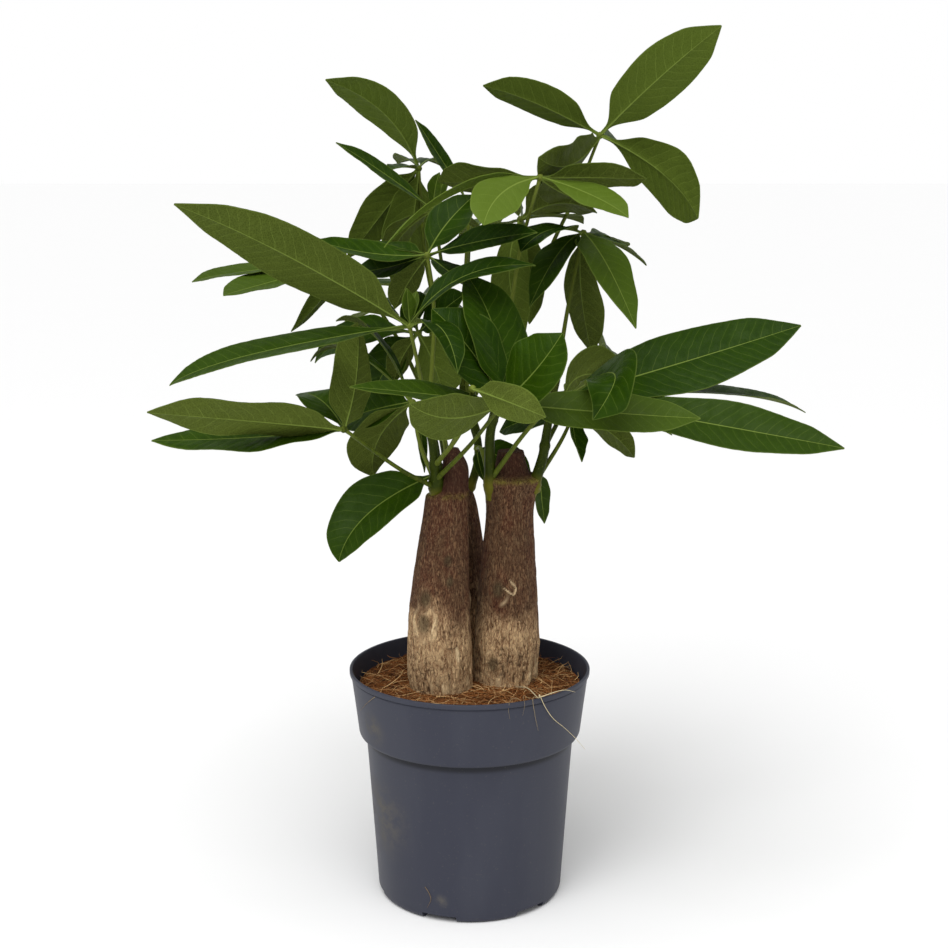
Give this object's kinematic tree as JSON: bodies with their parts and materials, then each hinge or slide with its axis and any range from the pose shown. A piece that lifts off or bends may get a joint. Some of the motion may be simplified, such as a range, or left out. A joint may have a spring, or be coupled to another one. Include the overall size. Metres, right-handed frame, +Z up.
{
  "type": "potted money tree",
  "caption": "Potted money tree: unbraided swollen trunks in a filled grower's pot, with long-stalked palmate leaves.",
  "frame": {"origin": "middle of the pot's foot, on the plane it stands on", "axes": "+Z up along the pot's axis, -Y towards the front as pictured, +X to the right"},
  "size_m": [0.4515, 0.3929, 0.6077],
  "materials": {
    "pot": "fine satin plastic, blue-grey",
    "soil": "loose brown coir fibre",
    "bark": "rough fissured bark",
    "leaf": "waxy green leaf"
  },
  "bodies": {
    "root": {"pot": "pot", "soil": "soil", "trunk_left": "bark", "trunk_right": "bark", "trunk_back": "bark", "shoot_left": "leaf", "shoot_middle": "leaf", "shoot_right": "leaf", "shoot_back": "leaf", "shoot_rear_left": "leaf"}
  },
  "joints": []
}
